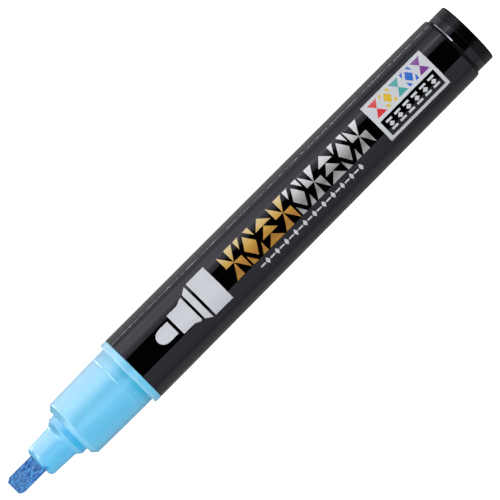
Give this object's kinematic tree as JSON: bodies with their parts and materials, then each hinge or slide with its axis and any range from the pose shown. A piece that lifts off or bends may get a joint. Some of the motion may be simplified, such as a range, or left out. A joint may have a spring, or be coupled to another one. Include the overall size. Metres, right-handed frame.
{
  "type": "fabric marking pen",
  "caption": "Valve-action fabric paint marker, uncapped: round black barrel with a printed film, light blue collar and nose, and a square chisel nib that is pressed in to feed paint.",
  "frame": {"origin": "centre of the flat end face of the tail plug, which the pen stands on", "axes": "+Z along the pen's axis from the tail to the nib; -Y is the side that the nib's bevel and the printed face look to; +X completes a right-handed frame"},
  "size_m": [0.016, 0.016, 0.1308],
  "materials": {
    "nib_fibre": "compressed polyester fibre soaked with blue paint, damp",
    "front_plastic": "light blue moulded polypropylene, satin",
    "barrel_plastic": "black moulded plastic, smooth",
    "film": "black printed wrap film, glossy",
    "plug_plastic": "black moulded plastic, satin",
    "seal_rubber": "soft black elastomer",
    "inner_plastic": "natural white polypropylene",
    "spring_steel": "bright spring wire",
    "ball_steel": "polished steel",
    "print_silver": "silver ink on the film",
    "print_gold": "gold ink on the film",
    "print_colours": "red, yellow, teal, blue and purple patches on the film"
  },
  "bodies": {
    "pen_body": {"barrel": "barrel_plastic", "label_film": "film", "tail_plug": "plug_plastic", "collar": "front_plastic", "nose": "front_plastic", "valve_housing": "inner_plastic", "valve_seat": "seal_rubber", "spring_retainer": "inner_plastic", "valve_spring": "spring_steel"},
    "nib": {"nib": "nib_fibre"},
    "valve": {"valve_rod": "inner_plastic"},
    "ball": {"mixing_ball": "ball_steel"}
  },
  "joints": [
    {"name": "nib_press", "type": "slide", "parent": "pen_body", "child": "nib", "axis": [0, 0, -1], "range_m": [0, 0.002], "stiffness_N_per_m": 600, "springref_m": -0.001},
    {"name": "valve_lift", "type": "slide", "parent": "pen_body", "child": "valve", "axis": [0, 0, -1], "range_m": [0, 0.002], "deforming": ["valve_spring"]},
    {"name": "ball_rattle", "type": "slide", "parent": "pen_body", "child": "ball", "axis": [0, 0, 1], "range_m": [0, 0.073]}
  ],
  "couplings": [
    {"joint": "valve_lift", "follows": "nib_press", "ratio": 1}
  ]
}
